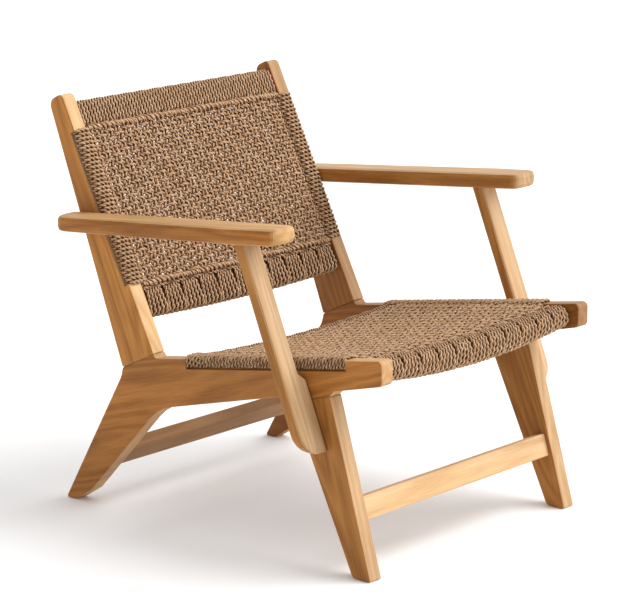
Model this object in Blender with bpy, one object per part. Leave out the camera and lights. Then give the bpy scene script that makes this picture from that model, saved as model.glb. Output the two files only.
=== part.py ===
"""Low lounge armchair in solid wood with a woven cord seat and back.

Metres, +Z up. The chair faces -Y. The sitter's right-hand side is at -X.
Side-view points are (y, z) pairs. While a piece is being laid out, y = 0 is the front end of
the seat rails; finish_placement() then moves the whole chair so that the origin lies on the
floor in the middle of its depth.
"""

import math

import bmesh
import bpy
from mathutils import Vector

# ---------------------------------------------------------------- driving dimensions
frame_width = 0.580          # outside faces of the two side frames
board = 0.030                # thickness of the side boards
cord = 0.008                 # diameter of the twisted cord
gap = 0.0003                 # clearance between touching solids
soft_gap = 0.0004            # clearance around the cord work
edge_round = 0.0025          # softened edges of the boards
arc_step = math.radians(15)  # facet angle of round corners

seat_front_height = 0.3937   # top of the side rail at its front end
seat_fall = 0.163            # drop of the side rail's top per metre of depth
nose_depth = 0.0445          # height of the side rail at its front end
rail_taper = 0.255           # drop of the side rail's underside per metre of depth
seat_depth = 0.5303          # front end of the side rail to the foot of the back stile
nose_round = 0.009

back_rake = math.radians(25.5)    # square to the joint at the stile's foot
front_rake = math.radians(26.7)   # front edge of the stile, and so the woven back
stile_length = 0.5007
stile_foot_width = 0.0885
stile_top_width = 0.0376
stile_top_rounds = (0.010, 0.016)  # front and rear corners
knuckle_rise = 0.0084               # step from the rail's top up to the stile joint

heel_run = 0.155             # foot of the stile joint back to the heel of the rear leg
knee_drop = 0.017            # stile joint to the bend in the rear edge
knee_lean = 0.004
knee_round = 0.030
sole_flat = 0.025            # part of the rear foot that lies on the floor
toe_rise = 0.027
toe_run = 0.068              # heel to toe of the rear foot
shin_slope = 0.939           # run of the rear leg's front edge per metre of height
shin_round = 0.115

leg_top_front = 0.1142       # front leg: front end of its joint, behind the nose
leg_top_width = 0.0888
leg_foot_front = 0.0221
leg_foot_width = 0.0411
leg_foot_round = 0.013
boss_drop = 0.0075           # seat for the front leg, below the rail's underside
boss_fillets = (0.016, 0.0085)

wrap_rebate = cord + 0.0005  # depth of the rebate that takes the cord on the outer faces
seat_wrap_drop = 0.019       # rebate height on the side rail
seat_wrap_front = 0.0818     # wrapped stretch of the side rail
seat_wrap_rear = 0.4569
back_wrap_width = 0.0130     # rebate width on the stile
back_wrap_top = 0.0728       # wrapped stretch of the stile, measured down from its top
back_wrap_rise = 0.1332      # bottom of that stretch, measured up from the stile's foot
wrap_proud = 0.0065          # cord standing above the boards' edges
seat_leg = 0.010             # how far the wraps reach down the inner faces
back_leg = 0.010
weave_set_in = 0.002         # woven sheets behind the surface of the rail wraps

tenon_length = 0.015
tenon_shoulder = 0.004
dowel_radius = 0.005
dowel_half = 0.022

seat_front_rail_back = 0.0375     # rail's centre line behind the nose
seat_front_rail_size = (0.020, 0.026)
seat_front_rail_dip = 0.007
seat_front_rail_belly = 0.012
seat_rear_rail_inset = 0.020      # rail's centre line in front of the wrap's rear end
seat_rear_rail_size = (0.022, 0.030)
seat_rear_rail_dip = 0.010
back_rail_size = (0.020, 0.040)
back_rail_centre_depth = 0.019    # behind the plane of the stiles' front edges
back_top_rail_drop = 0.0415       # below the stile's top, along the stile
back_bottom_rail_rise = 0.0967    # above the stile's foot, along the stile
back_bottom_rail_belly = 0.006

front_stretcher_height = 0.0991   # lower front edge above the floor
front_stretcher_inset = 0.0085
front_stretcher_size = (0.022, 0.042)
rear_stretcher_size = (0.024, 0.042)
rear_stretcher_height = 0.0761
rear_stretcher_inset = 0.006
rear_stretcher_tilt = math.radians(32.0)

arm_thickness = 0.029
arm_slope = 0.094                # rise towards the front
arm_rear_height = 0.5506         # top surface at the rear end
arm_rear_overhang = 0.0100       # behind the stile's rear edge
arm_front_setback = 0.175        # front end behind the nose
arm_splay = 0.010                # inner edge moves out by this much at the front
arm_rear_width = 0.060
arm_front_width = 0.070
arm_edge_round = 0.008

post_width = 0.058               # side board to the post's outer face
post_thickness = 0.0254          # front to back
post_slope = 0.41                # backward lean per metre of height
post_foot_height = 0.215
post_foot_front = 0.1163         # foot's front edge behind the nose
post_relief = 0.015              # step that stands the upper post off the wrapped rail
post_relief_height = 0.012       # height over which it steps out
post_corner = 0.007
post_foot_round = 0.036          # big rounding at the foot's outer corner

side_dowel_radius = 0.004
side_dowel_half = 0.018           # length in each of the two pieces
rail_sections = 6                # stations along a curved rail

# ---------------------------------------------------------------- derived places
half = frame_width / 2
inner_face = half - board
back_wrap_bottom = stile_length - back_wrap_rise
back_bottom_rail_drop = stile_length - back_bottom_rail_rise
sides = (("right", -1), ("left", 1))
rake_down = Vector((-math.sin(back_rake), -math.cos(back_rake)))
rake_back = Vector((math.cos(back_rake), -math.sin(back_rake)))
front_down = Vector((-math.sin(front_rake), -math.cos(front_rake)))
front_back = Vector((math.cos(front_rake), -math.sin(front_rake)))


def rail_top(y):
    return seat_front_height - seat_fall * y


def rail_under(y):
    return seat_front_height - nose_depth - rail_taper * y


joint_front = Vector((seat_depth, rail_top(seat_depth))) - rake_down * knuckle_rise
joint_rear = joint_front + rake_back * stile_foot_width
stile_top_front = joint_front - front_down * stile_length
stile_top_rear = stile_top_front + rake_back * stile_top_width
heel = Vector((joint_rear.x + heel_run, 0.0))
knee = joint_rear + Vector((knee_lean, -knee_drop))


def arm_top(y):
    rear_end = stile_rear_at(arm_rear_height) + arm_rear_overhang
    return arm_rear_height + arm_slope * (rear_end - y)


def seat_edge():
    """Wrapped stretch of the side rail's top: start, direction, way down into the board, run."""
    start = Vector((seat_wrap_front, rail_top(seat_wrap_front)))
    end = Vector((seat_wrap_rear, rail_top(seat_wrap_rear)))
    along = (end - start).normalized()
    return start, along, Vector((along.y, -along.x)), (end - start).length


def stile_front_at(z):
    share = (z - joint_front.y) / (stile_top_front.y - joint_front.y)
    return joint_front.lerp(stile_top_front, share).x


def stile_rear_at(z):
    share = (z - joint_rear.y) / (stile_top_rear.y - joint_rear.y)
    return joint_rear.lerp(stile_top_rear, share).x


def back_plane(drop, depth):
    """Point `drop` down the stile's front edge from its top and `depth` behind that edge."""
    return stile_top_front + front_down * drop + front_back * depth


# ---------------------------------------------------------------- materials
def material(name, colour, roughness, metallic=0.0):
    made = bpy.data.materials.new(name)
    made.use_nodes = True
    shader = made.node_tree.nodes["Principled BSDF"]
    shader.inputs["Base Color"].default_value = (*colour, 1.0)
    shader.inputs["Roughness"].default_value = roughness
    shader.inputs["Metallic"].default_value = metallic
    return made


# ---------------------------------------------------------------- outlines
def corner_points(before, corner, after, radius):
    """Points of a round corner; a radius of 0 keeps it sharp."""
    to_before = (before - corner).normalized()
    to_after = (after - corner).normalized()
    opening = to_before.angle(to_after)
    if radius <= 0 or opening > math.pi - 0.01:
        return [corner.copy()]
    reach = radius / math.tan(opening / 2)
    reach = min(reach, 0.49 * (before - corner).length, 0.49 * (after - corner).length)
    radius = reach * math.tan(opening / 2)
    centre = corner + (to_before + to_after).normalized() * (radius / math.sin(opening / 2))
    start = corner + to_before * reach - centre
    turn = math.pi - opening
    if start.cross(corner + to_after * reach - centre) < 0:
        turn = -turn
    steps = max(2, math.ceil(abs(turn) / arc_step))
    points = []
    for i in range(steps + 1):
        angle = turn * i / steps
        rotated = Vector((start.x * math.cos(angle) - start.y * math.sin(angle),
                          start.x * math.sin(angle) + start.y * math.cos(angle)))
        points.append(centre + rotated)
    return points


def outline(corners):
    """Closed outline from (point, radius) corners."""
    points = []
    for i, (corner, radius) in enumerate(corners):
        before = corners[i - 1][0]
        after = corners[(i + 1) % len(corners)][0]
        points += corner_points(Vector(before), Vector(corner), Vector(after), radius)
    return points


def box_section(centre, across, up, size, corner, segments=2):
    """Round-cornered rectangle: `size` is (thickness along across, height along up)."""
    points = []
    for turn, (sa, su) in enumerate(((1, 1), (-1, 1), (-1, -1), (1, -1))):
        middle = centre + across * sa * (size[0] / 2 - corner) + up * su * (size[1] / 2 - corner)
        for i in range(segments + 1):
            angle = math.pi / 2 * (turn + i / segments)
            points.append(middle + across * corner * math.cos(angle) + up * corner * math.sin(angle))
    return points


# ---------------------------------------------------------------- mesh building
def add_object(name, mesh_builder, surface=None):
    mesh_builder.normal_update()
    bmesh.ops.recalc_face_normals(mesh_builder, faces=mesh_builder.faces)
    mesh = bpy.data.meshes.new(name)
    mesh_builder.to_mesh(mesh)
    mesh_builder.free()
    made = bpy.data.objects.new(name, mesh)
    bpy.context.scene.collection.objects.link(made)
    made.parent = chair
    if surface:
        mesh.materials.append(surface)
    mesh.shade_smooth()
    mesh.set_sharp_from_angle(angle=math.radians(35))
    return made


def loft(name, loops, surface=None):
    """Solid through closed loops of 3-D points, all with the same number of points."""
    builder = bmesh.new()
    rings = [[builder.verts.new(point) for point in loop] for loop in loops]
    for lower, upper in zip(rings, rings[1:]):
        for i in range(len(lower)):
            j = (i + 1) % len(lower)
            builder.faces.new((lower[i], lower[j], upper[j], upper[i]))
    builder.faces.new(rings[0])
    builder.faces.new(rings[-1])
    return add_object(name, builder, surface)


def sleeve(name, outer_loops, inner_loops, surface):
    """Open-ended tube between two sets of loops."""
    builder = bmesh.new()
    outer = [[builder.verts.new(point) for point in loop] for loop in outer_loops]
    inner = [[builder.verts.new(point) for point in loop] for loop in inner_loops]
    for rings in (outer, inner):
        for lower, upper in zip(rings, rings[1:]):
            for i in range(len(lower)):
                j = (i + 1) % len(lower)
                builder.faces.new((lower[i], lower[j], upper[j], upper[i]))
    for end in (0, -1):
        for i in range(len(outer[end])):
            j = (i + 1) % len(outer[end])
            builder.faces.new((outer[end][i], outer[end][j], inner[end][j], inner[end][i]))
    return add_object(name, builder, surface)


def at_x(points, x):
    return [Vector((x, point.x, point.y)) for point in points]


def extrude_side(name, points, x0, x1, surface=None, edge=0.0):
    """Side-view outline given thickness along X, with its edges softened."""
    made = loft(name, [at_x(points, x0), at_x(points, x1)], surface)
    if edge > 0:
        soften(made, edge)
    return made


def soften(target, width, segments=2):
    bevel = target.modifiers.new("softened_edges", "BEVEL")
    bevel.width = width
    bevel.segments = segments
    bevel.limit_method = "ANGLE"
    bevel.angle_limit = math.radians(35)
    bevel.use_clamp_overlap = True


def cylinder(name, start, end, radius, surface=None, vertices=12):
    axis = (end - start).normalized()
    side = axis.orthogonal().normalized()
    other = axis.cross(side)
    loops = []
    for place in (start, end):
        loop = []
        for i in range(vertices):
            angle = 2 * math.pi * i / vertices
            loop.append(place + (side * math.cos(angle) + other * math.sin(angle)) * radius)
        loops.append(loop)
    return loft(name, loops, surface)


def cut(target, cutter):
    cutter.hide_render = True
    cutter.display_type = "WIRE"
    boolean = target.modifiers.new("cut", "BOOLEAN")
    boolean.operation = "DIFFERENCE"
    boolean.solver = "EXACT"
    boolean.object = cutter


# ---------------------------------------------------------------- wooden side pieces
def stile_outline():
    front_round, rear_round = stile_top_rounds
    return outline([(joint_front - rake_down * gap, 0),
                    (stile_top_front, front_round),
                    (stile_top_rear, rear_round),
                    (joint_rear - rake_down * gap, 0)])


def side_frame_outline():
    boss_front = leg_top_front
    boss_rear = leg_top_front + leg_top_width
    shin_foot = Vector((heel.x - toe_run, toe_rise))
    crotch = crotch_point(shin_foot)
    return outline([
        (Vector((0, rail_under(0))), nose_round),
        (Vector((0, rail_top(0))), nose_round),
        (joint_front + rake_down * knuckle_rise, 0.014),
        (joint_front, 0),
        (joint_rear, 0),
        (knee, knee_round),
        (heel, 0.004),
        (heel - Vector((sole_flat, 0)), 0.025),
        (shin_foot, 0.005),
        (crotch, shin_round),
        (Vector((boss_rear + boss_fillets[0], rail_under(boss_rear + boss_fillets[0]))), 0.018),
        (Vector((boss_rear, boss_height(boss_rear))), 0),
        (Vector((boss_front, boss_height(boss_front))), 0),
        (Vector((boss_front - boss_fillets[1], rail_under(boss_front - boss_fillets[1]))), 0.008),
    ])


def crotch_point(shin_foot):
    """Where the rear leg's front edge meets the rail's underside."""
    # shin: y = foot.y - shin_slope * (z - foot.z); underside: z = rail_under(y)
    base = seat_front_height - nose_depth
    y = (shin_foot.x - shin_slope * (base - shin_foot.y)) / (1 - shin_slope * rail_taper)
    return Vector((y, rail_under(y)))


def boss_height(y):
    return rail_under(y) - boss_drop


def front_leg_outline():
    top_front = Vector((leg_top_front, boss_height(leg_top_front) - gap))
    top_rear = Vector((leg_top_front + leg_top_width,
                       boss_height(leg_top_front + leg_top_width) - gap))
    foot_front = Vector((leg_foot_front, 0))
    foot_rear = Vector((leg_foot_front + leg_foot_width, 0))
    return outline([(top_front, 0), (top_rear, 0), (foot_rear, leg_foot_round), (foot_front, 0.004)])


def make_side_boards():
    made = {}
    for label, s in sides:
        span = (s * inner_face, s * half)
        made["stile", s] = extrude_side(f"back_stile_{label}", stile_outline(), *span, wood, edge_round)
        made["frame", s] = extrude_side(f"side_frame_{label}", side_frame_outline(), *span, wood,
                                        edge_round)
        made["leg", s] = extrude_side(f"front_leg_{label}", front_leg_outline(), *span, wood,
                                      edge_round)
        cut_wrap_rebates(made, label, s)
    return made


def cut_wrap_rebates(made, label, s):
    """Rebates in the outer faces that take the turned-over cord."""
    floor = s * (half - wrap_rebate)
    outside = s * (half + 0.01)
    over = 0.012
    upper = [back_plane(back_wrap_top, -over), back_plane(back_wrap_top, back_wrap_width),
             back_plane(back_wrap_bottom, back_wrap_width), back_plane(back_wrap_bottom, -over)]
    cut(made["stile", s], extrude_side(f"stile_rebate_{label}", upper, floor, outside))
    start, along, down, run = seat_edge()
    lower = [start - down * over, start + down * seat_wrap_drop,
             start + along * run + down * seat_wrap_drop, start + along * run - down * over]
    cut(made["frame", s], extrude_side(f"rail_rebate_{label}", lower, floor, outside))


# ---------------------------------------------------------------- rails and stretchers
def dip(x, depth):
    """Sag of a curved rail: 0 at the side boards, `depth` in the middle."""
    return depth * (1 - (x / inner_face) ** 2)


def is_curved(centre_at):
    """True where a rail's centre line isn't straight."""
    return (centre_at(0) - centre_at(inner_face)).length > 1e-6


def stations(curved, last):
    """Places along X at which a rail's section is set out."""
    count = rail_sections if curved else 1
    return [last * (2 * i / count - 1) for i in range(count + 1)]


def rail_stations(centre_at, across, up, size_at, corner):
    """Loops of a rail with a tenon at each end."""
    last = inner_face - gap
    tenon_end = inner_face + tenon_length
    loops = []
    for x in (-tenon_end, -last):
        loops.append(tenon_loop(centre_at, across, up, size_at, corner, x, math.copysign(last, x)))
    for x in stations(is_curved(centre_at), last):
        loops.append(at_x(box_section(centre_at(x), across, up, size_at(x), corner), x))
    for x in (last, tenon_end):
        loops.append(tenon_loop(centre_at, across, up, size_at, corner, x, last))
    return loops


def tenon_loop(centre_at, across, up, size_at, corner, x, shoulder_x, grow=0.0):
    thickness, height = size_at(shoulder_x)
    size = (thickness - 2 * tenon_shoulder + 2 * grow, height - 2 * tenon_shoulder + 2 * grow)
    points = box_section(centre_at(shoulder_x), across, up, size, min(corner, 0.002))
    return at_x(points, x)


def rail(name, centre_at, across, up, size_at, corner, hosts):
    """Rail, and the mortises that its tenons need in the side pieces `hosts`."""
    loops = rail_stations(centre_at, across, up, size_at, corner)
    loft(name, loops, wood)
    for s in (-1, 1):
        start = s * (inner_face - 0.01)
        end = s * (inner_face + tenon_length + gap)
        shoulder = s * (inner_face - gap)
        pocket = [tenon_loop(centre_at, across, up, size_at, corner, x, shoulder, gap)
                  for x in (start, end)]
        cut(hosts[s], loft(f"{name}_mortise_{s}", pocket))


def make_rails(boards):
    upright = (Vector((1, 0)), Vector((0, 1)))
    frames = {s: boards["frame", s] for s in (-1, 1)}
    legs = {s: boards["leg", s] for s in (-1, 1)}
    stiles = {s: boards["stile", s] for s in (-1, 1)}
    for name, (centre_at, across, up, size_at, corner) in wrapped_rails(upright).items():
        hosts = stiles if name.startswith("back") else frames
        rail(name, centre_at, across, up, size_at, corner, hosts)

    leg_run = (leg_foot_front - leg_top_front) / boss_height(leg_top_front)
    leg_up = Vector((-leg_run, 1)).normalized()
    leg_across = Vector((leg_up.y, -leg_up.x))
    low_front = Vector((leg_foot_front - leg_run * front_stretcher_height, front_stretcher_height))
    thick, tall = front_stretcher_size
    centre = low_front + leg_across * (front_stretcher_inset + thick / 2) + leg_up * tall / 2
    rail("front_stretcher", lambda x: centre, leg_across, leg_up,
         lambda x: front_stretcher_size, 0.003, legs)

    shin_up = Vector((-math.sin(rear_stretcher_tilt), math.cos(rear_stretcher_tilt)))
    shin_across = Vector((shin_up.y, -shin_up.x))
    thick, tall = rear_stretcher_size
    shin_y = heel.x - toe_run - shin_slope * (rear_stretcher_height - toe_rise)
    low_edge = Vector((shin_y + rear_stretcher_inset, rear_stretcher_height))
    rear_centre = low_edge + shin_across * thick / 2 + shin_up * tall / 2
    rail("rear_stretcher", lambda x: rear_centre, shin_across, shin_up,
         lambda x: rear_stretcher_size, 0.003, frames)


def wrapped_rails(upright):
    """The four rails that carry cord: name to (centre, across, up, size, corner radius)."""
    across, up = upright
    front_thick, front_tall = seat_front_rail_size
    front_y = seat_front_rail_back
    front_top = rail_top(front_y) - cord - soft_gap

    def front_size(x):
        return (front_thick, front_tall + dip(x, seat_front_rail_belly))

    def front_centre(x):
        top = front_top - dip(x, seat_front_rail_dip)
        return Vector((front_y, top - front_size(x)[1] / 2))

    rear_y = seat_wrap_rear - seat_rear_rail_inset
    rear_top = rail_top(rear_y) - cord / 2

    def rear_centre(x):
        return Vector((rear_y, rear_top - dip(x, seat_rear_rail_dip) - seat_rear_rail_size[1] / 2))

    back_up = -front_down
    thick, tall = back_rail_size

    def bottom_size(x):
        return (thick, tall + dip(x, back_bottom_rail_belly))

    def bottom_centre(x):
        drop = back_bottom_rail_drop + dip(x, back_bottom_rail_belly) / 2
        return back_plane(drop, back_rail_centre_depth)

    top_centre = back_plane(back_top_rail_drop, back_rail_centre_depth)
    return {
        "seat_front_rail": (front_centre, across, up, front_size, 0.005),
        "seat_rear_rail": (rear_centre, across, up, lambda x: seat_rear_rail_size, 0.005),
        "back_top_rail": (lambda x: top_centre, front_back, back_up, lambda x: back_rail_size, 0.006),
        "back_bottom_rail": (bottom_centre, front_back, back_up, bottom_size, 0.006),
    }


# ---------------------------------------------------------------- arms
def arm_ends():
    rear = stile_rear_at(arm_rear_height) + arm_rear_overhang
    return arm_front_setback, rear


def arm_inner_edge(y):
    front, rear = arm_ends()
    share = (rear - y) / (rear - front)
    return half + gap + arm_splay * max(0.0, share - 0.35) / 0.65


def make_armrest(label, s):
    front, rear = arm_ends()
    stile_front = stile_front_at(arm_rear_height)
    plan = outline([
        (Vector((half + gap, rear)), 0.010),
        (Vector((half + arm_rear_width, rear)), arm_rear_width - 0.012),
        (Vector((half + arm_rear_width + 0.004, stile_front)), 0.300),
        (Vector((half + arm_splay + arm_front_width, front + 0.090)), 0.120),
        (Vector((half + arm_splay + arm_front_width - 0.006, front)), 0.018),
        (Vector((half + gap + arm_splay, front)), 0.018),
        (Vector((half + gap, stile_front - 0.03)), 0.300),
    ])
    loops = []
    for drop in (arm_thickness, 0.0):
        loops.append([Vector((s * p.x, p.y, arm_top(p.y) - drop)) for p in plan])
    made = loft(f"armrest_{label}", loops, wood)
    soften(made, arm_edge_round, 2)
    return made


def post_section(z):
    """(inner x, outer x, front y, rear y) of the post at height z."""
    front = post_foot_front + post_slope * (z - post_foot_height)
    share = (z - relief_height()) / post_relief_height
    inner = half + gap + post_relief * min(1.0, max(0.0, share))
    return inner, half + gap + post_width, front, front + post_thickness


def relief_height():
    """Height at which the post starts to step clear of the wrapped side rail."""
    y = post_foot_front + post_slope * (rail_top(post_foot_front) - post_foot_height)
    return rail_top(y) - seat_wrap_drop - post_relief_height


def post_loop(s, z, outer_cut=0.0, thinner=0.0, level=None):
    inner, outer, front, rear = post_section(z)
    outer -= outer_cut
    front += thinner
    rear -= thinner
    centre = Vector(((inner + outer) / 2, (front + rear) / 2))
    loop = []
    for p in box_section(centre, Vector((1, 0)), Vector((0, 1)), (outer - inner, rear - front),
                         post_corner - thinner, 3):
        height = z if level is None else level(p.y)
        loop.append(Vector((s * p.x, p.y, height)))
    return loop


def post_top_y():
    """Front edge of the post where it meets the armrest's underside."""
    rise = arm_top(arm_front_setback) - arm_thickness - post_foot_height
    return post_foot_front + post_slope * rise


def make_arm_post(label, s):
    step = relief_height()
    loops = []
    for i in range(6):
        angle = math.pi / 2 * i / 5
        z = post_foot_height + post_foot_round * (1 - math.cos(angle))
        thinner = 0.004 * (1 - math.sin(angle)) ** 2
        loops.append(post_loop(s, z, post_foot_round * (1 - math.sin(angle)), thinner))
    loops += [post_loop(s, z) for z in (step, step + post_relief_height)]
    top = arm_top(post_top_y()) - arm_thickness
    loops.append(post_loop(s, top, level=lambda y: arm_top(y) - arm_thickness - gap))
    return loft(f"arm_post_{label}", loops, wood)


# ---------------------------------------------------------------- joinery
def drill(hosts, start, end, radius, tag):
    bore = cylinder(f"bore_{tag}", start, end, radius)
    for host in hosts:
        cut(host, bore)


def dowel(hosts, middle, axis, half_length, radius, tag):
    start = middle - axis * half_length
    end = middle + axis * half_length
    drill(hosts, start - axis * gap, end + axis * gap, radius + gap, tag)
    cylinder(tag, start, end, radius, dowel_wood)


def side_point(s, point, x=None):
    return Vector((s * (half - board / 2 if x is None else x), point.x, point.y))


def side_axis(direction):
    return Vector((0, direction.x, direction.y))


def make_joinery(boards, arms, posts):
    joint_a = Vector((leg_top_front, boss_height(leg_top_front)))
    leg_rear = leg_top_front + leg_top_width
    joint_b = Vector((leg_rear, boss_height(leg_rear)))
    along_joint = (joint_b - joint_a).normalized()
    across_joint = Vector((along_joint.y, -along_joint.x))
    for label, s in sides:
        for i, along in enumerate((0.26, 0.74)):
            middle = side_point(s, joint_front.lerp(joint_rear, along))
            dowel((boards["stile", s], boards["frame", s]), middle, side_axis(rake_down),
                  dowel_half, dowel_radius, f"knuckle_dowel_{label}_{i + 1}")
        for i, along in enumerate((0.28, 0.72)):
            middle = side_point(s, joint_a.lerp(joint_b, along))
            dowel((boards["leg", s], boards["frame", s]), middle, side_axis(across_joint),
                  dowel_half, dowel_radius, f"leg_dowel_{label}_{i + 1}")
        make_arm_pins(label, s, arms, posts)
        make_post_dowels(label, s, boards, posts)
        make_arm_rear_dowels(label, s, boards, arms)


def make_arm_pins(label, s, arms, posts):
    top_z = arm_top(post_top_y()) - arm_thickness
    inner, outer, front, rear = post_section(top_z)
    y = (front + rear) / 2
    for i, share in enumerate((0.30, 0.70)):
        x = inner + (outer - inner) * share
        middle = Vector((s * x, y, arm_top(y) - arm_thickness - gap / 2))
        dowel((arms[s], posts[s]), middle, Vector((0, 0, 1)), 0.016, 0.004,
              f"armrest_dowel_{label}_{i + 1}")


def side_dowel(hosts, s, point, tag):
    """Blind dowel along X, half in the side board and half in the piece outside it."""
    middle = side_point(s, point, half + gap / 2)
    dowel(hosts, middle, Vector((1, 0, 0)), side_dowel_half, side_dowel_radius, tag)


def make_post_dowels(label, s, boards, posts):
    """Two dowels from each arm post: one into the rail, one into the front leg."""
    joint_z = boss_height(leg_top_front + leg_top_width / 2)
    for i, (host, z) in enumerate((("frame", joint_z + 0.022), ("leg", joint_z - 0.048))):
        inner, outer, front, rear = post_section(z)
        side_dowel((boards[host, s], posts[s]), s, Vector(((front + rear) / 2, z)),
                   f"arm_post_dowel_{label}_{i + 1}")


def make_arm_rear_dowels(label, s, boards, arms):
    """Two dowels from each stile into the armrest's inner edge."""
    z = arm_top(stile_front_at(arm_rear_height)) - arm_thickness / 2
    front, rear = stile_front_at(z), stile_rear_at(z)
    for i, share in enumerate((0.42, 0.76)):
        y = front + (rear - front) * share
        side_dowel((boards["stile", s], arms[s]), s, Vector((y, arm_top(y) - arm_thickness / 2)),
                   f"armrest_rear_dowel_{label}_{i + 1}")


# ---------------------------------------------------------------- cord work
def wrap_loops(rail_values, grow, last):
    centre_at, across, up, size_at, corner = rail_values
    loops = []
    for x in stations(is_curved(centre_at), last):
        thickness, height = size_at(x)
        size = (thickness + 2 * grow, height + 2 * grow)
        loops.append(at_x(box_section(centre_at(x), across, up, size, corner + grow), x))
    return loops


def rail_wrap(name, rail_values):
    """Layer of cord around a rail, between the side boards."""
    last = inner_face - soft_gap
    sleeve(name, wrap_loops(rail_values, cord, last), wrap_loops(rail_values, soft_gap, last),
           woven_cord)


def make_side_wrap(name, s, edge_point, inward, along, run, rebate, inner_leg):
    """Cord turned over the edge of a side board: rebate leg, edge, inner leg.

    edge_point is where the run starts on the board's edge, `along` the direction of the edge,
    `inward` the direction from the edge into the board, in side view.
    """
    outer_x = half - soft_gap / 2
    rebate_x = half - wrap_rebate + soft_gap / 2
    inner_x = inner_face - soft_gap
    inside_x = inner_face - cord
    proud = wrap_proud
    section = [
        (outer_x, rebate - soft_gap), (outer_x, -proud * 0.45), (outer_x - proud * 0.35, -proud),
        (inside_x + proud * 0.35, -proud), (inside_x, -proud * 0.45), (inside_x, inner_leg),
        (inner_x, inner_leg), (inner_x, -soft_gap), (rebate_x, -soft_gap),
        (rebate_x, rebate - soft_gap),
    ]
    loops = []
    for distance in (soft_gap, run - soft_gap):
        base = edge_point + along * distance
        loop = []
        for x, depth in section:
            point = base + inward * depth
            loop.append(Vector((s * x, point.x, point.y)))
        loops.append(loop)
    return loft(name, loops, woven_cord)


def make_side_wraps():
    for label, s in sides:
        start, along, down, run = seat_edge()
        wrap = make_side_wrap(f"seat_side_wrap_{label}", s, start, down, along, run,
                              seat_wrap_drop, seat_leg)
        make_rail_notch(wrap, label, s)
        top = back_plane(back_wrap_top, 0)
        make_side_wrap(f"stile_wrap_{label}", s, top, front_back, front_down,
                       back_wrap_bottom - back_wrap_top, back_wrap_width, back_leg)


def make_rail_notch(wrap, label, s):
    """Room in the side wrap's inner leg for the rear rail and its cord."""
    rear_y = seat_wrap_rear - seat_rear_rail_inset
    front = rear_y - seat_rear_rail_size[0] / 2 - cord - soft_gap
    top = rail_top(rear_y) + cord / 2 + soft_gap
    back = seat_wrap_rear + 0.01
    room = [Vector((front, top - 0.06)), Vector((back, top - 0.06)),
            Vector((back, top)), Vector((front, top))]
    cut(wrap, extrude_side(f"rail_notch_{label}", room, s * (inner_face - 0.03), s * inner_face))


def panel(name, corner_at, x_reach, thickness):
    """Woven sheet: corner_at(x) gives its two edge centres in side view at that x."""
    loops = []
    for i in range(rail_sections + 1):
        x = x_reach * (2 * i / rail_sections - 1)
        first, last = corner_at(x)
        along = (last - first).normalized()
        normal = Vector((-along.y, along.x)) * thickness / 2
        loops.append(at_x([first + normal, last + normal, last - normal, first - normal], x))
    return loft(name, loops, woven_cord)


def make_panels(rails):
    clear = inner_face - cord - soft_gap
    front_centre, _, _, front_size, _ = rails["seat_front_rail"]
    rear_centre, _, _, rear_size, _ = rails["seat_rear_rail"]
    below = cord / 2 - weave_set_in

    def seat_corners(x):
        return (front_centre(x) + Vector((0, front_size(x)[1] / 2 + below)),
                rear_centre(x) + Vector((0, rear_size(x)[1] / 2 + below)))

    seat = panel("seat_weave", seat_corners, clear, cord)
    top_centre = rails["back_top_rail"][0]
    bottom_centre = rails["back_bottom_rail"][0]
    lift = -front_back * (back_rail_size[0] / 2 + below)

    def back_corners(x):
        return top_centre(x) + lift, bottom_centre(x) + lift

    back = panel("back_weave", back_corners, clear, cord)
    for name, values in rails.items():
        room = loft(f"{name}_room", wrap_loops(values, cord + soft_gap, inner_face))
        cut(back if name.startswith("back") else seat, room)


# ---------------------------------------------------------------- whole chair
def finish_placement():
    """Moves the chair so that the origin is on the floor, at the middle of its depth."""
    rearmost = max(point.x for point in stile_outline() + side_frame_outline())
    chair.location.y = -rearmost / 2


for old in list(bpy.data.objects):
    bpy.data.objects.remove(old)

chair = bpy.data.objects.new("chair", None)
bpy.context.scene.collection.objects.link(chair)

wood = material("oiled_teak", (0.46, 0.24, 0.10), 0.5)
dowel_wood = material("beech_dowel", (0.62, 0.42, 0.24), 0.6)
woven_cord = material("twisted_cord", (0.42, 0.27, 0.16), 0.75)

boards = make_side_boards()
make_rails(boards)
arms = {s: make_armrest(label, s) for label, s in sides}
posts = {s: make_arm_post(label, s) for label, s in sides}
make_joinery(boards, arms, posts)

rails = wrapped_rails((Vector((1, 0)), Vector((0, 1))))
for rail_name, values in rails.items():
    rail_wrap(rail_name.replace("_rail", "_wrap"), values)
make_side_wraps()
make_panels(rails)
finish_placement()
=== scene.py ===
import math

import bpy
import numpy as np
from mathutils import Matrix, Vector


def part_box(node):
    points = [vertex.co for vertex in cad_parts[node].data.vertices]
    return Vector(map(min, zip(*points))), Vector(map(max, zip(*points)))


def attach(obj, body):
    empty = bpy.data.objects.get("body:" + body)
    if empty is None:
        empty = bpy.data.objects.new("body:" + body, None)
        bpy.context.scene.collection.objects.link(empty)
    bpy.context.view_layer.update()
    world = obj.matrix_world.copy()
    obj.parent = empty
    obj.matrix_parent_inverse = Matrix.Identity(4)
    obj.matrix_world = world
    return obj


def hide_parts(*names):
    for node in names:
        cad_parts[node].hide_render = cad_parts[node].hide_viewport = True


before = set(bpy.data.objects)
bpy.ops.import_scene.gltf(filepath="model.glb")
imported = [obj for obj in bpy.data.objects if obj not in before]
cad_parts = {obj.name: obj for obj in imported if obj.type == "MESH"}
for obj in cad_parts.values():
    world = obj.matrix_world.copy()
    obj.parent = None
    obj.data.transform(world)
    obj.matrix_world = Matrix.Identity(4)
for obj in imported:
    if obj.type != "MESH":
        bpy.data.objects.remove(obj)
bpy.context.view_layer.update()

print("frame loaded")

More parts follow.
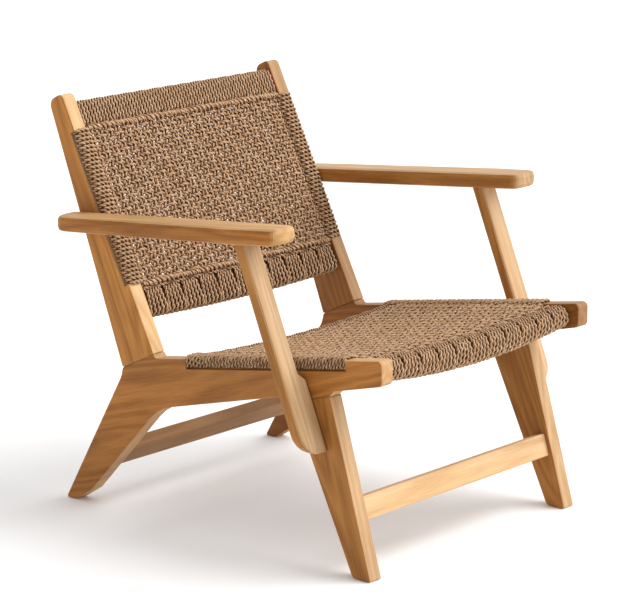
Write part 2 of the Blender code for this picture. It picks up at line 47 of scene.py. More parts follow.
# Shape of the wooden frame that the cord is wound on, in metres. Depths are counted from the
# front ends of the seat rails.
chairFrame = {
    "outerFace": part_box("side_frame_left")[1][0],
    "innerFace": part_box("side_frame_left")[0][0],
    "frontEnd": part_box("side_frame_left")[0][1],
    "seatFrontHeight": 0.3937,
    "seatFall": 0.163,
    "seatDepth": 0.5303,
    "kneeRise": 0.0084,
    "jointRake": math.radians(25.5),
    "backLean": math.radians(26.7),
    "stileLength": 0.5007,
}

cordCraft = {
    "diameter": 0.0080,     # cord laid on the frame
    "lay": 0.0200,          # length of one full turn of the two plies
    "ringStep": 0.0022,     # distance between rings of the tube
    "sides": 8,
    "plyOffset": 0.235,     # ply centres from the cord's axis, share of the diameter
    "plyRadius": 0.270,
    "sheetDiameter": 0.0089,  # in the woven sheets
    "clearance": 0.0004,
}


def railTop(depth):
    return chairFrame["seatFrontHeight"] - chairFrame["seatFall"] * depth


def seatPoint(x, depth, lift=0.0):
    # Lift is square to the seat rails' top edge.
    slope = math.atan(chairFrame["seatFall"])
    y = chairFrame["frontEnd"] + depth + lift * math.sin(slope)
    return (x, y, railTop(depth) + lift * math.cos(slope))


def stileTopFront():
    rake = chairFrame["jointRake"]
    lean = chairFrame["backLean"]
    depth = chairFrame["seatDepth"] + chairFrame["kneeRise"] * math.sin(rake)
    height = railTop(chairFrame["seatDepth"]) + chairFrame["kneeRise"] * math.cos(rake)
    depth += chairFrame["stileLength"] * math.sin(lean)
    height += chairFrame["stileLength"] * math.cos(lean)
    return depth, height


def backPoint(x, drop, inset=0.0):
    # Drop runs down the stiles' front edge from its top; inset goes in behind that edge.
    lean = chairFrame["backLean"]
    depth, height = stileTopFront()
    depth += -drop * math.sin(lean) + inset * math.cos(lean)
    height += -drop * math.cos(lean) - inset * math.sin(lean)
    return (x, chairFrame["frontEnd"] + depth, height)


backUp = np.array([0.0, math.sin(chairFrame["backLean"]), math.cos(chairFrame["backLean"])])
seatAlong = np.array([0.0, 1.0, -chairFrame["seatFall"]])
seatAlong /= np.linalg.norm(seatAlong)
sideways = np.array([1.0, 0.0, 0.0])


def resample(points, step):
    points = np.asarray(points, float)
    lengths = np.linalg.norm(np.diff(points, axis=0), axis=1)
    travelled = np.concatenate([[0.0], np.cumsum(lengths)])
    count = max(4, int(round(travelled[-1] / step)) + 1)
    wanted = np.linspace(0.0, travelled[-1], count)
    smooth = np.stack([np.interp(wanted, travelled, points[:, i]) for i in range(3)], axis=1)
    return smooth, wanted


def cordTube(points, sideAxis, turn, closed=False, diameter=None):
    # Two twisted plies as one closed tube whose section turns along its length.
    size = diameter or cordCraft["diameter"]
    sides = cordCraft["sides"]
    path, run = resample(points, cordCraft["ringStep"])
    if closed:
        path, run = path[:-1], run[:-1]
        tangent = np.roll(path, -1, axis=0) - np.roll(path, 1, axis=0)
    else:
        tangent = np.gradient(path, axis=0)
    tangent /= np.linalg.norm(tangent, axis=1, keepdims=True)
    outward = np.cross(np.broadcast_to(sideAxis, tangent.shape), tangent)
    outward /= np.linalg.norm(outward, axis=1, keepdims=True)
    across = np.cross(tangent, outward)
    angle = np.arange(sides) * 2 * math.pi / sides
    plyOffset = cordCraft["plyOffset"] * size
    plyRadius = cordCraft["plyRadius"] * size
    reach = plyOffset * np.abs(np.cos(angle))
    reach += np.sqrt(plyRadius ** 2 - (plyOffset * np.sin(angle)) ** 2)
    lay = cordCraft["lay"]
    if closed:
        total = run[-1] + cordCraft["ringStep"]
        lay = total / max(1, round(2 * total / lay)) * 2
    spin = turn + 2 * math.pi * run[:, None] / lay
    whole = angle[None, :] + spin
    rings = path[:, None, :] + reach[None, :, None] * (
        np.cos(whole)[:, :, None] * outward[:, None, :]
        + np.sin(whole)[:, :, None] * across[:, None, :])
    count = len(path)
    surface = rings.reshape(-1, 3)
    crown = np.tile((reach - reach.min()) / (reach.max() - reach.min()), count)
    here = np.arange(sides)
    after = (here + 1) % sides
    last = count if closed else count - 1
    faces = []
    for i in range(last):
        j = (i + 1) % count
        low, high = i * sides, j * sides
        faces.append(np.stack([low + here, low + after, high + after, high + here], axis=1))
    faces = np.concatenate(faces)
    caps = [] if closed else [tuple(here[::-1]), tuple((count - 1) * sides + here)]
    return surface, faces, caps, crown


def cordPiece(name, strands, nodes=(), diameter=None):
    # Each strand is (points, side axis, turn, closed).
    allPoints, allFaces, crowns, start = [], [], [], 0
    for points, sideAxis, turn, closed in strands:
        tube, faces, caps, crown = cordTube(points, sideAxis, turn, closed, diameter)
        allPoints.append(tube)
        crowns.append(crown)
        allFaces += (faces + start).tolist()
        allFaces += [[start + int(k) for k in cap] for cap in caps]
        start += len(tube)
    mesh = bpy.data.meshes.new(name)
    mesh.from_pydata(np.concatenate(allPoints).tolist(), [], allFaces)
    mesh.shade_smooth()
    # 1 on top of a ply, 0 in the groove between the plies.
    mesh.attributes.new("plyCrown", "FLOAT", "POINT").data.foreach_set(
        "value", np.concatenate(crowns).astype(np.float32))
    mesh.update()
    piece = bpy.data.objects.new(name, mesh)
    bpy.context.scene.collection.objects.link(piece)
    mesh.materials.append(cordMaterial)
    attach(piece, "root")
    if nodes:
        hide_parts(*nodes)
    print(name, len(strands), "cords,", len(mesh.polygons), "faces")
    return piece


def roundedLoop(halfDepth, halfHeight, corner, count=6):
    # Closed rounded rectangle as (depth, height) pairs.
    points = []
    for turn, (sx, sy) in enumerate(((1, 1), (-1, 1), (-1, -1), (1, -1))):
        for i in range(count + 1):
            angle = math.pi / 2 * (turn + i / count)
            points.append((sx * (halfDepth - corner) + corner * math.cos(angle),
                           sy * (halfHeight - corner) + corner * math.sin(angle)))
    points.append(points[0])
    return points


def newMaterial(name):
    made = bpy.data.materials.new(name)
    made.use_nodes = True
    tree = made.node_tree
    tree.nodes.clear()
    out = tree.nodes.new("ShaderNodeOutputMaterial")
    shader = tree.nodes.new("ShaderNodeBsdfPrincipled")
    tree.links.new(shader.outputs[0], out.inputs["Surface"])
    return made, tree, shader


def addNode(tree, kind, settings=None, inputs=None):
    made = tree.nodes.new(kind)
    for key, value in (settings or {}).items():
        setattr(made, key, value)
    for key, value in (inputs or {}).items():
        if isinstance(value, bpy.types.NodeSocket):
            tree.links.new(value, made.inputs[key])
        else:
            made.inputs[key].default_value = value
    return made


def ramp(tree, factor, stops):
    made = addNode(tree, "ShaderNodeValToRGB", inputs={"Fac": factor})
    elements = made.color_ramp.elements
    while len(elements) < len(stops):
        elements.new(0.5)
    for element, (place, colour) in zip(elements, stops):
        element.position = place
        element.color = (*colour, 1.0)
    return made.outputs["Color"]


def mixColour(tree, mode, factor, first, second):
    made = addNode(tree, "ShaderNodeMix", {"data_type": "RGBA", "blend_type": mode})
    for socket, value in ((0, factor), (6, first), (7, second)):
        if isinstance(value, bpy.types.NodeSocket):
            tree.links.new(value, made.inputs[socket])
        else:
            made.inputs[socket].default_value = value if socket == 0 else (*value, 1.0)
    return made.outputs[2]


teak = {
    "face": (0.500, 0.222, 0.052),       # painted shade: surfaces facing sideways, darker as if shaded
    "faceDark": (0.290, 0.108, 0.020),
    "edge": (0.600, 0.395, 0.218),       # painted light: surfaces facing front, back, up or down, paler as if lit
    "edgeDark": (0.450, 0.262, 0.116),
    "specular": 0.22,
    "roughness": (0.42, 0.62),
    "fibreScale": 418.0,
    "fibreStretch": 0.045,
    "bandScale": 9.0,
    "bandStretch": 0.10,
    "figureLines": 34.0,
    "figureShare": 0.42,
    "streakFrom": 0.38,
    "cloudScale": 11.0,
    "cloudStretch": 0.3,
    "faceFrom": 0.45,        # how squarely a surface looks sideways before it takes the painted shade
    "faceTo": 0.95,
    "bump": 0.00018,
    "bumpStrength": 0.6,
}


def teakMaterial(name, grain, shift, paintedLightTint):
    made, tree, shader = newMaterial(name)
    coords = addNode(tree, "ShaderNodeTexCoord").outputs["Object"]
    toGrain = Vector(grain).normalized().rotation_difference(Vector((1, 0, 0))).to_euler()
    turned = addNode(tree, "ShaderNodeMapping", inputs={
        "Vector": coords, "Rotation": toGrain, "Location": shift}).outputs[0]

    def stretched(along, across):
        return addNode(tree, "ShaderNodeMapping", inputs={
            "Vector": turned, "Scale": (along, across, across)}).outputs[0]

    fibre = addNode(tree, "ShaderNodeTexNoise", inputs={
        "Vector": stretched(teak["fibreStretch"], 1.0), "Scale": teak["fibreScale"], "Detail": 4.0,
        "Roughness": 0.6}).outputs[0]
    band = addNode(tree, "ShaderNodeTexNoise", inputs={
        "Vector": stretched(teak["bandStretch"], 1.0), "Scale": teak["bandScale"], "Detail": 2.5,
        "Roughness": 0.45, "Distortion": 0.3}).outputs[0]
    lines = addNode(tree, "ShaderNodeMath", {"operation": "MULTIPLY"}, {
        0: band, 1: teak["figureLines"]}).outputs[0]
    figure = addNode(tree, "ShaderNodeMath", {"operation": "PINGPONG"}, {
        0: lines, 1: 1.0}).outputs[0]
    cloud = addNode(tree, "ShaderNodeTexNoise", inputs={
        "Vector": stretched(teak["cloudStretch"], 1.0), "Scale": teak["cloudScale"],
        "Detail": 2.0}).outputs[0]

    figureFibre = addNode(tree, "ShaderNodeMath", {"operation": "MULTIPLY_ADD"}, {
        0: figure, 1: teak["figureShare"], 2: fibre}).outputs[0]
    streak = addNode(tree, "ShaderNodeMapRange", inputs={
        "Value": figureFibre, "From Min": teak["streakFrom"], "From Max": 1.0}).outputs[0]
    face = mixColour(tree, "MIX", streak, teak["faceDark"], teak["face"])
    edge = mixColour(tree, "MIX", streak, teak["edgeDark"], teak["edge"])

    # Painted light and shade: surfaces facing sideways take the darker shaded colour, all others
    # the paler lit colour.
    normal = addNode(tree, "ShaderNodeNewGeometry").outputs["Normal"]
    parts = addNode(tree, "ShaderNodeSeparateXYZ", inputs={0: normal})
    facing = addNode(tree, "ShaderNodeMath", {"operation": "ABSOLUTE"},
                     {0: parts.outputs["X"]}).outputs[0]
    paintedShadeMask = addNode(tree, "ShaderNodeMapRange", {"interpolation_type": "SMOOTHSTEP"}, {
        "Value": facing, "From Min": teak["faceFrom"], "From Max": teak["faceTo"]}).outputs[0]
    colour = mixColour(tree, "MIX", paintedShadeMask, edge, face)
    shade = ramp(tree, cloud, ((0.30, (0.80, 0.78, 0.76)), (0.70, (1.10, 1.08, 1.04))))
    colour = mixColour(tree, "MULTIPLY", 1.0, colour, shade)
    # Painted light and shade of each board.
    colour = mixColour(tree, "MULTIPLY", 1.0, colour, paintedLightTint)
    tree.links.new(colour, shader.inputs["Base Color"])
    shader.inputs["Specular IOR Level"].default_value = teak["specular"]

    low, high = teak["roughness"]
    rough = addNode(tree, "ShaderNodeMapRange", inputs={
        "Value": fibre, "From Min": 0.3, "From Max": 0.7, "To Min": low, "To Max": high})
    tree.links.new(rough.outputs[0], shader.inputs["Roughness"])
    bump = addNode(tree, "ShaderNodeBump", inputs={
        "Height": fibre, "Distance": teak["bump"], "Strength": teak["bumpStrength"]})
    tree.links.new(bump.outputs[0], shader.inputs["Normal"])
    return made


cordLook = {
    "light": (0.740, 0.500, 0.315),
    "middle": (0.635, 0.402, 0.232),
    "dark": (0.510, 0.300, 0.158),
    "paintedGrooveShade": (0.38, 0.29, 0.21),        # painted shade in the groove between the two plies
    "gap": (0.24, 0.165, 0.105),         # painted shade down between neighbouring cords
    "gapDepth": 0.010,
    "specular": 0.25,
    "fibreScale": 520.0,
    "fibreShare": 0.55,
    "patchScale": 85.0,
    "roughness": (0.60, 0.85),
    "bump": 0.0006,
    "bumpStrength": 0.7,
}


def makeCordMaterial():
    made, tree, shader = newMaterial("twistedPaperCord")
    coords = addNode(tree, "ShaderNodeTexCoord").outputs["Object"]
    fibre = addNode(tree, "ShaderNodeTexNoise", inputs={
        "Vector": coords, "Scale": cordLook["fibreScale"], "Detail": 3.0}).outputs[0]
    patch = addNode(tree, "ShaderNodeTexNoise", inputs={
        "Vector": coords, "Scale": cordLook["patchScale"], "Detail": 3.0}).outputs[0]
    blend = addNode(tree, "ShaderNodeMath", {"operation": "MULTIPLY_ADD"}, {
        0: fibre, 1: cordLook["fibreShare"], 2: patch}).outputs[0]
    centred = addNode(tree, "ShaderNodeMath", {"operation": "SUBTRACT"}, {
        0: blend, 1: cordLook["fibreShare"] / 2}).outputs[0]
    colour = ramp(tree, centred, ((0.33, cordLook["dark"]), (0.50, cordLook["middle"]),
                                  (0.68, cordLook["light"])))
    # Painted shade: the colour is darker down in the groove between the two plies, from the
    # plyCrown mask.
    crown = addNode(tree, "ShaderNodeAttribute", {"attribute_name": "plyCrown"}).outputs["Fac"]
    plyShade = ramp(tree, crown, ((0.0, cordLook["paintedGrooveShade"]), (0.55, (1.0, 1.0, 1.0))))
    colour = mixColour(tree, "MULTIPLY", 1.0, colour, plyShade)
    # Painted shade: ambient occlusion darkens the colour where cords crowd each other.
    depth = addNode(tree, "ShaderNodeAmbientOcclusion", {"samples": 3}, {
        "Distance": cordLook["gapDepth"]}).outputs["AO"]
    gapShade = ramp(tree, depth, ((0.25, cordLook["gap"]), (0.80, (1.0, 1.0, 1.0))))
    colour = mixColour(tree, "MULTIPLY", 1.0, colour, gapShade)
    tree.links.new(colour, shader.inputs["Base Color"])
    shader.inputs["Specular IOR Level"].default_value = cordLook["specular"]
    low, high = cordLook["roughness"]
    rough = addNode(tree, "ShaderNodeMapRange", inputs={
        "Value": fibre, "From Min": 0.3, "From Max": 0.7, "To Min": low, "To Max": high})
    tree.links.new(rough.outputs[0], shader.inputs["Roughness"])
    bump = addNode(tree, "ShaderNodeBump", inputs={
        "Height": fibre, "Distance": cordLook["bump"], "Strength": cordLook["bumpStrength"]})
    tree.links.new(bump.outputs[0], shader.inputs["Normal"])
    return made


def plainMaterial(name, dark, light, scale, roughness):
    made, tree, shader = newMaterial(name)
    coords = addNode(tree, "ShaderNodeTexCoord").outputs["Object"]
    speck = addNode(tree, "ShaderNodeTexNoise", inputs={
        "Vector": coords, "Scale": scale, "Detail": 4.0}).outputs[0]
    tree.links.new(ramp(tree, speck, ((0.3, dark), (0.7, light))), shader.inputs["Base Color"])
    rough = addNode(tree, "ShaderNodeMapRange", inputs={
        "Value": speck, "To Min": roughness - 0.1, "To Max": roughness + 0.1})
    tree.links.new(rough.outputs[0], shader.inputs["Roughness"])
    return made


# Grain direction of each board; the letters right and left are added for pairs.
boardGrain = {
    "back_stile": (0, 0.42, 0.90),
    "side_frame": (0, 1.0, -0.30),
    "front_leg": (0, 0.33, 0.94),
    "arm_post": (0, 0.38, 0.92),
    "armrest": (0, 1.0, -0.094),
    "front_stretcher": (1, 0, 0),
    "rear_stretcher": (1, 0, 0),
    "seat_front_rail": (1, 0, 0),
    "seat_rear_rail": (1, 0, 0),
    "back_top_rail": (1, 0, 0),
    "back_bottom_rail": (1, 0, 0),
}


# Painted light and shade per board: colour factors on the usual teak that darken boards lying in
# shade and lighten boards lying in light in this studio.
boardPaintedLight = {
    "rear_stretcher": (0.58, 0.48, 0.40),
    "front_stretcher": (1.22, 1.24, 1.26),
    "back_stile_right": (1.24, 1.24, 1.18),
    "back_stile_left": (0.74, 0.67, 0.58),
    "side_frame_left": (0.72, 0.60, 0.46),
    "side_frame_right": (0.98, 0.92, 0.84),
    "arm_post_left": (1.12, 1.16, 1.22),
    "arm_post_right": (1.00, 1.04, 1.10),
    "armrest_right": (0.94, 0.86, 0.72),
    "armrest_left": (0.98, 0.98, 1.00),
    "seat_front_rail": (0.20, 0.16, 0.13),     # painted shade under the cord
    "back_bottom_rail": (0.20, 0.16, 0.13),
    "back_top_rail": (0.20, 0.16, 0.13),
}


def finishNode(node, material):
    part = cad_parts[node]
    for slot in part.material_slots:
        slot.material = material
    if not part.material_slots:
        part.data.materials.append(material)


cordMaterial = makeCordMaterial()
dowelMaterial = plainMaterial("beechDowel", (0.45, 0.28, 0.14), (0.65, 0.45, 0.26), 140, 0.6)
for number, node in enumerate(sorted(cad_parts)):
    if "dowel" in node:
        finishNode(node, dowelMaterial)
    else:
        for board, grain in boardGrain.items():
            if node.startswith(board) and "wrap" not in node:
                shift = (0.37 * number, 0.61 * number, 0.23 * number)
                paintedLightTint = boardPaintedLight.get(node, (1.0, 1.0, 1.0))
                finishNode(node, teakMaterial("teak_" + node, grain, shift, paintedLightTint))
print("wood finished")


# Cord wound round the four rails.
railWinding = {
    "pitch": 0.0083,
    "corner": 0.010,
    "turn": 0.7,             # twist from one winding to the next
    "group": (5, 0.0446, 0.0010),    # cords in a group, its width and the gap after it
    "groupSpread": 0.6,
    "squeezeFrom": 0.35,
}
frontRoll = {"corner": 0.0165, "padding": 0.0040, "lean": 0.10, "squeeze": 0.0080}
bottomBand = {"lean": 0.05, "squeeze": 0.0095}


def sag(x, depth):
    return depth * (1 - (x / chairFrame["innerFace"]) ** 2)


def windingPlaces(groupOf=0, groupWidth=0.0, groupGap=0.0):
    reach = chairFrame["innerFace"] - 0.5 * cordCraft["diameter"] - cordCraft["clearance"]
    if not groupOf:
        count = int(2 * reach / railWinding["pitch"]) + 1
        return [(-reach + 2 * reach * i / (count - 1), 0.0) for i in range(count)]
    groups = round(2 * reach / (groupWidth + groupGap))
    period = (2 * reach + groupGap) / groups
    places = []
    for group in range(groups):
        for i in range(groupOf):
            share = i / (groupOf - 1) - 0.5
            centre = -reach + period * (group + 0.5) - groupGap / 2
            spread = period - groupGap - cordCraft["diameter"] * railWinding["groupSpread"]
            places.append((centre + share * spread, share))
    return places


def windRail(name, node, sizeAt, centreAt, upAxis, backAxis, places, lean=0.0, squeeze=0.0,
             padding=0.0, corner=None):
    strands = []
    for number, (x, share) in enumerate(places):
        thick, tall = sizeAt(x)
        half = cordCraft["diameter"] / 2
        loop = roundedLoop(thick / 2 + half + padding, tall / 2 + half,
                           corner or railWinding["corner"])
        centre = np.array(centreAt(x))
        points = []
        for depth, height in loop:
            rise = min(1.0, max(0.0, height / (tall / 2) + railWinding["squeezeFrom"]))
            shift = lean * height - squeeze * share * rise
            points.append(centre + np.array([shift, 0, 0]) + depth * backAxis + height * upAxis)
        strands.append((points, sideways, railWinding["turn"] * number, True))
    return cordPiece(name, strands, (node,))


backBack = np.array([0.0, math.cos(chairFrame["backLean"]), -math.sin(chairFrame["backLean"])])
straightUp = np.array([0.0, 0.0, 1.0])
straightBack = np.array([0.0, 1.0, 0.0])

backTopRail = {"size": (0.020, 0.040), "drop": 0.0415, "inset": 0.019}
backBottomRail = {"size": (0.020, 0.040), "rise": 0.0967, "inset": 0.019, "belly": 0.006}
seatFrontRail = {"size": (0.020, 0.026), "depth": 0.0375, "dip": 0.007, "belly": 0.012}
seatRearRail = {"size": (0.022, 0.030), "depth": 0.4369, "dip": 0.010}

windRail("backTopWinding", "back_top_wrap", lambda x: backTopRail["size"],
         lambda x: backPoint(x, backTopRail["drop"], backTopRail["inset"]),
         backUp, backBack, windingPlaces())


def bottomSize(x):
    thick, tall = backBottomRail["size"]
    return thick, tall + sag(x, backBottomRail["belly"])


def bottomCentre(x):
    drop = chairFrame["stileLength"] - backBottomRail["rise"] + sag(x, backBottomRail["belly"]) / 2
    return backPoint(x, drop, backBottomRail["inset"])


windRail("backBottomWinding", "back_bottom_wrap", bottomSize, bottomCentre, backUp, backBack,
         windingPlaces(*railWinding["group"]), bottomBand["lean"], bottomBand["squeeze"])


def frontSize(x):
    thick, tall = seatFrontRail["size"]
    return thick, tall + sag(x, seatFrontRail["belly"])


def frontCentre(x):
    top = railTop(seatFrontRail["depth"]) - cordCraft["diameter"] - cordCraft["clearance"]
    height = top - sag(x, seatFrontRail["dip"]) - frontSize(x)[1] / 2
    return (x, chairFrame["frontEnd"] + seatFrontRail["depth"], height)


windRail("seatFrontWinding", "seat_front_wrap", frontSize, frontCentre, straightUp, straightBack,
         windingPlaces(*railWinding["group"]), frontRoll["lean"], frontRoll["squeeze"],
         frontRoll["padding"], frontRoll["corner"])


def rearCentre(x):
    top = railTop(seatRearRail["depth"]) - cordCraft["diameter"] / 2
    height = top - sag(x, seatRearRail["dip"]) - seatRearRail["size"][1] / 2
    return (x, chairFrame["frontEnd"] + seatRearRail["depth"], height)


windRail("seatRearWinding", "seat_rear_wrap", lambda x: seatRearRail["size"], rearCentre,
         straightUp, straightBack, windingPlaces())


# Woven sheets of the seat and back.
weaving = {
    "rowPitch": 0.0078,
    "warpPitch": 0.0228,     # middle to middle of neighbouring warp pairs
    "warpSpread": 0.0094,    # between the two cords of a pair
    "weftWave": 0.0032,
    "warpWave": 0.0022,
    "weftClear": 0.0075,     # where the weft starts to weave, in from the side boards
    "weftStep": 0.0038,
    "weftFade": 0.012,
    "weftTurn": 0.9,         # twist from one row to the next
    "innerClear": 0.0050,    # for rows that stop at the side boards
    "innerSteps": 120,
    "innerWave": 0.6,
    "warpClear": 0.0090,
    "warpStep": 0.0029,
    "warpTurn": 0.8,
}
sideTurn = {
    "proud": 0.0026,         # cord's centre above the side boards' edges
    "bend": 0.0045,
    "outerInset": 0.0044,    # cord's centre in from the boards' outer faces
    "riseStart": 0.0060,
    "riseMiddle": 0.0020,
    "riseLift": 0.0006,
    "overEdge": 0.0030,
    "tuck": 0.0040,
}


def turnOver(side, level, wrapDepth):
    # Way over a side board, as (x, lift) pairs from the sheet out to the rebate.
    outer = chairFrame["outerFace"] - sideTurn["outerInset"]
    inner = chairFrame["innerFace"]
    top = sideTurn["proud"]
    bend = sideTurn["bend"]
    points = [(inner - sideTurn["riseStart"], level),
              (inner - sideTurn["riseMiddle"], (level + top) / 2 + sideTurn["riseLift"]),
              (inner + sideTurn["overEdge"], top), (outer - bend, top)]
    for i in range(1, 4):
        angle = math.pi / 2 * i / 3
        points.append((outer - bend + bend * math.sin(angle), top - bend + bend * math.cos(angle)))
    points.append((outer, -wrapDepth + sideTurn["tuck"]))
    return [(side * x, lift) for x, lift in points]


def weftRow(place, levelAt, number, wrapDepth, rowAxis):
    clear = chairFrame["innerFace"] - weaving["weftClear"]
    row = []
    for x, lift in reversed(turnOver(-1, levelAt(-clear), wrapDepth)):
        row.append(place(x, lift))
    count = int(2 * clear / weaving["weftStep"])
    for i in range(count + 1):
        x = -clear + 2 * clear * i / count
        wave = math.cos(math.pi * x / weaving["warpPitch"] + math.pi * number)
        fade = min(1.0, (clear - abs(x)) / weaving["weftFade"])
        row.append(place(x, levelAt(x) + weaving["weftWave"] * wave * fade))
    for x, lift in turnOver(1, levelAt(clear), wrapDepth):
        row.append(place(x, lift))
    return row, rowAxis, weaving["weftTurn"] * number, False


def innerRow(place, levelAt, number, rowAxis):
    # Row that stops at the side boards.
    reach = chairFrame["innerFace"] - weaving["innerClear"]
    steps = weaving["innerSteps"]
    row = []
    for i in range(steps + 1):
        x = -reach + 2 * reach * i / steps
        wave = math.cos(math.pi * x / weaving["warpPitch"] + math.pi * number)
        row.append(place(x, levelAt(x) + weaving["weftWave"] * weaving["innerWave"] * wave))
    return row, rowAxis, weaving["weftTurn"] * number, False


def warpPlaces():
    clear = chairFrame["innerFace"] - weaving["warpClear"]
    most = int(clear / weaving["warpPitch"])
    return [(i, i * weaving["warpPitch"]) for i in range(-most, most + 1)]


# Back: rows from under the top winding to above the bottom winding.
backSheet = {
    "top": 0.0742,
    "bottom": 0.3665,
    "level": -0.0066,
    "wrapDepth": 0.0130,
    "topRow": 0.0690,
    "bottomRows": (0.3740, 0.3805),
    "closingDrop": 0.001,
    "warpAbove": 0.012,      # how far the warps run past the rows
    "warpBelow": 0.014,
}
backRows = []
rowCount = round((backSheet["bottom"] - backSheet["top"]) / weaving["rowPitch"])
for k in range(rowCount + 1):
    drop = backSheet["top"] + (backSheet["bottom"] - backSheet["top"]) * k / rowCount
    backRows.append(weftRow(lambda x, lift: backPoint(x, drop, -lift),
                            lambda x: backSheet["level"], k, backSheet["wrapDepth"], backUp))
closingRows = [(-1, backSheet["topRow"])]
closingRows += list(enumerate(backSheet["bottomRows"], start=rowCount + 1))
for k, drop in closingRows:
    backRows.append(innerRow(lambda x, lift: backPoint(x, drop, -lift),
                             lambda x: backSheet["level"] - backSheet["closingDrop"], k, backUp))
cordPiece("backWeft", backRows,
          ("back_weave", "stile_wrap_right", "stile_wrap_left"),
          cordCraft["sheetDiameter"])

backWarps = []
warpTop = backSheet["top"] - backSheet["warpAbove"]
warpBottom = backSheet["bottom"] + backSheet["warpBelow"]
for i, middle in warpPlaces():
    for part in (-0.5, 0.5):
        x = middle + part * weaving["warpSpread"]
        points = []
        for step in range(int((warpBottom - warpTop) / weaving["warpStep"]) + 1):
            drop = warpTop + step * weaving["warpStep"]
            phase = math.pi * (drop - backSheet["top"]) / weaving["rowPitch"] + math.pi * i
            lift = backSheet["level"] - weaving["warpWave"] * math.cos(phase)
            points.append(backPoint(x, drop, -lift))
        backWarps.append((points, sideways, weaving["warpTurn"] * i + part, False))
cordPiece("backWarp", backWarps, diameter=cordCraft["sheetDiameter"])


# Seat: the sheet hangs a little between the side boards.
seatSheet = {
    "front": 0.0860,
    "rear": 0.4140,
    "sideRear": 0.4530,
    "wrapDepth": 0.0190,
    "rearLevel": -0.0005,
    "frontRows": (0.0785, 0.0712, 0.0640),
    "frontRowFall": 0.0015,
    "warpFront": 0.052,
    "warpBehind": 0.010,
}


def seatLevel(x, depth):
    share = (depth - seatFrontRail["depth"]) / (seatRearRail["depth"] - seatFrontRail["depth"])
    frontLevel = -cordCraft["diameter"] / 2 - sag(x, seatFrontRail["dip"])
    rearLevel = seatSheet["rearLevel"] - sag(x, seatRearRail["dip"])
    return frontLevel + (rearLevel - frontLevel) * share


seatRows = []
sideCount = round((seatSheet["sideRear"] - seatSheet["front"]) / weaving["rowPitch"])
for k in range(sideCount + 1):
    depth = seatSheet["front"] + (seatSheet["sideRear"] - seatSheet["front"]) * k / sideCount
    if depth <= seatSheet["rear"]:
        seatRows.append(weftRow(lambda x, lift: seatPoint(x, depth, lift),
                                lambda x: seatLevel(x, depth), k, seatSheet["wrapDepth"],
                                seatAlong))
        continue
    for side in (-1, 1):
        turn = turnOver(side, 0.0, seatSheet["wrapDepth"])
        points = [seatPoint(x, depth, lift) for x, lift in turn]
        seatRows.append((points, seatAlong, 0.9 * k, False))
for k, depth in enumerate(seatSheet["frontRows"]):
    seatRows.append(innerRow(lambda x, lift: seatPoint(x, depth, lift),
                             lambda x: seatLevel(x, depth) - seatSheet["frontRowFall"] * k,
                             -1 - k, seatAlong))
cordPiece("seatWeft", seatRows,
          ("seat_weave", "seat_side_wrap_right", "seat_side_wrap_left"),
          cordCraft["sheetDiameter"])

seatWarps = []
warpEnd = seatSheet["rear"] + seatSheet["warpBehind"]
# Slots behind the front roll, where the warps draw together.
ladder = {"depth": 0.063, "reach": 0.013, "squeeze": 0.46, "valley": 0.0045}
for i, middle in warpPlaces():
    groupMiddle = 2 * weaving["warpPitch"] * math.floor(i / 2) + weaving["warpPitch"] / 2
    for part in (-0.5, 0.5):
        flatX = middle + part * weaving["warpSpread"]
        points = []
        for step in range(int((warpEnd - seatSheet["warpFront"]) / weaving["warpStep"]) + 1):
            depth = seatSheet["warpFront"] + step * weaving["warpStep"]
            phase = math.pi * (depth - seatSheet["front"]) / weaving["rowPitch"] + math.pi * i
            near = math.exp(-((depth - ladder["depth"]) / ladder["reach"]) ** 2)
            x = flatX + (groupMiddle - flatX) * ladder["squeeze"] * near
            lift = seatLevel(x, depth) - weaving["warpWave"] * math.cos(phase)
            points.append(seatPoint(x, depth, lift - ladder["valley"] * near))
        seatWarps.append((points, sideways, weaving["warpTurn"] * i + part, False))
cordPiece("seatWarp", seatWarps, diameter=cordCraft["sheetDiameter"])


# Twined rows along the top and bottom of the back sheet.
twining = {
    "topDrop": 0.0705,
    "bottomDrop": 0.3720,
    "inset": 0.0030,
    "sway": 0.0028,
    "depth": 0.0026,
    "clear": 0.006,
    "steps": 200,
    "turn": 1.1,
}


def twinedRow(name, drop):
    strands = []
    for half in (0, 1):
        points = []
        reach = chairFrame["innerFace"] - twining["clear"]
        for step in range(twining["steps"] + 1):
            x = -reach + 2 * reach * step / twining["steps"]
            angle = 2 * math.pi * x / weaving["warpPitch"] + math.pi * half
            points.append(backPoint(x, drop + twining["sway"] * math.sin(angle),
                                    twining["inset"] - twining["depth"] * math.cos(angle)))
        strands.append((points, backUp, twining["turn"] * half, False))
    return cordPiece(name, strands)


twinedRow("backTopTwining", twining["topDrop"])
twinedRow("backBottomTwining", twining["bottomDrop"])


# Floor, light and camera.
studio = {
    "floorSize": 14.0,
    "floorColour": (0.92, 0.92, 0.92),
    "worldStrength": 1.0,
    "darkWall": 0.55,        # soft dark wall on the sitter's right
    "wallFrom": -0.75,
    "wallTo": 0.10,
    "keyStrength": 2.7,
    "keySoftness": math.radians(55),
    "keyFrom": (0.72, -0.80, 0.95),
}

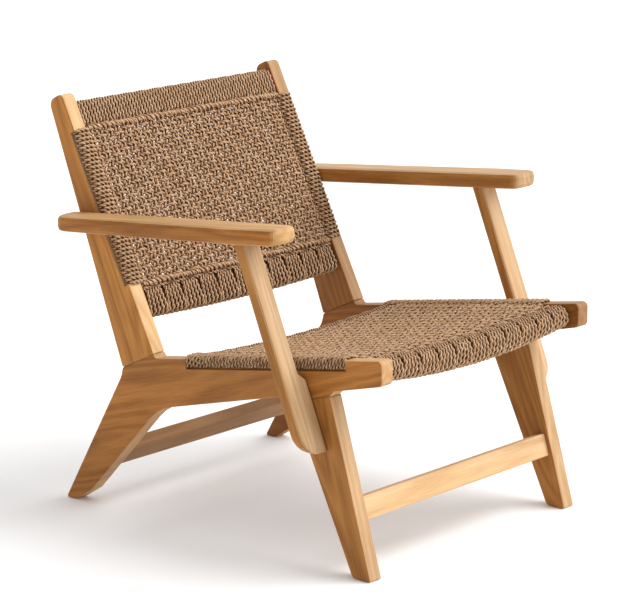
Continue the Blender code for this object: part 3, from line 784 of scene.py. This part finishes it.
floorMesh = bpy.data.meshes.new("floor")
reach = studio["floorSize"] / 2
floorMesh.from_pydata([(-reach, -reach, 0), (reach, -reach, 0), (reach, reach, 0),
                       (-reach, reach, 0)], [], [(0, 1, 2, 3)])
floor = bpy.data.objects.new("floor", floorMesh)
bpy.context.scene.collection.objects.link(floor)
floorLook, floorTree, floorShader = newMaterial("paleFloor")
floorShader.inputs["Base Color"].default_value = (*studio["floorColour"], 1.0)
floorShader.inputs["Roughness"].default_value = 0.9
floorMesh.materials.append(floorLook)

world = bpy.data.worlds.new("studioWorld")
world.use_nodes = True
background = world.node_tree.nodes["Background"]
direction = addNode(world.node_tree, "ShaderNodeTexCoord").outputs["Generated"]
directionParts = addNode(world.node_tree, "ShaderNodeSeparateXYZ", inputs={0: direction})
towardsWall = addNode(world.node_tree, "ShaderNodeMapRange", {"interpolation_type": "SMOOTHSTEP"}, {
    "Value": directionParts.outputs["X"], "From Min": studio["wallFrom"],
    "From Max": studio["wallTo"],
    "To Min": studio["darkWall"], "To Max": studio["worldStrength"]})
world.node_tree.links.new(towardsWall.outputs[0], background.inputs["Strength"])
background.inputs["Color"].default_value = (1, 1, 1, 1)
bpy.context.scene.world = world


def addSun(name, fromDirection, strength, softness):
    lamp = bpy.data.lights.new(name, "SUN")
    lamp.energy = strength
    lamp.angle = softness
    lampObject = bpy.data.objects.new(name, lamp)
    lampObject.rotation_euler = Vector(fromDirection).to_track_quat("Z", "Y").to_euler()
    bpy.context.scene.collection.objects.link(lampObject)


addSun("keyLight", studio["keyFrom"], studio["keyStrength"], studio["keySoftness"])

view = {
    "place": (-3.6876, -3.2531, 1.5534),
    "azimuth": math.radians(-48.60),
    "elevation": math.radians(13.43),
    "lens": 155.64,
    "sensor": 36.0,
}
lens = bpy.data.cameras.new("camera")
lens.lens = view["lens"]
lens.sensor_width = view["sensor"]
lens.clip_end = 60.0
camera = bpy.data.objects.new("camera", lens)
camera.location = view["place"]
toCamera = Vector((math.sin(view["azimuth"]) * math.cos(view["elevation"]),
                   -math.cos(view["azimuth"]) * math.cos(view["elevation"]),
                   math.sin(view["elevation"])))
camera.rotation_euler = toCamera.to_track_quat("Z", "Y").to_euler()
bpy.context.scene.collection.objects.link(camera)
bpy.context.scene.camera = camera
bpy.context.scene.view_settings.view_transform = "Standard"
print("studio ready")
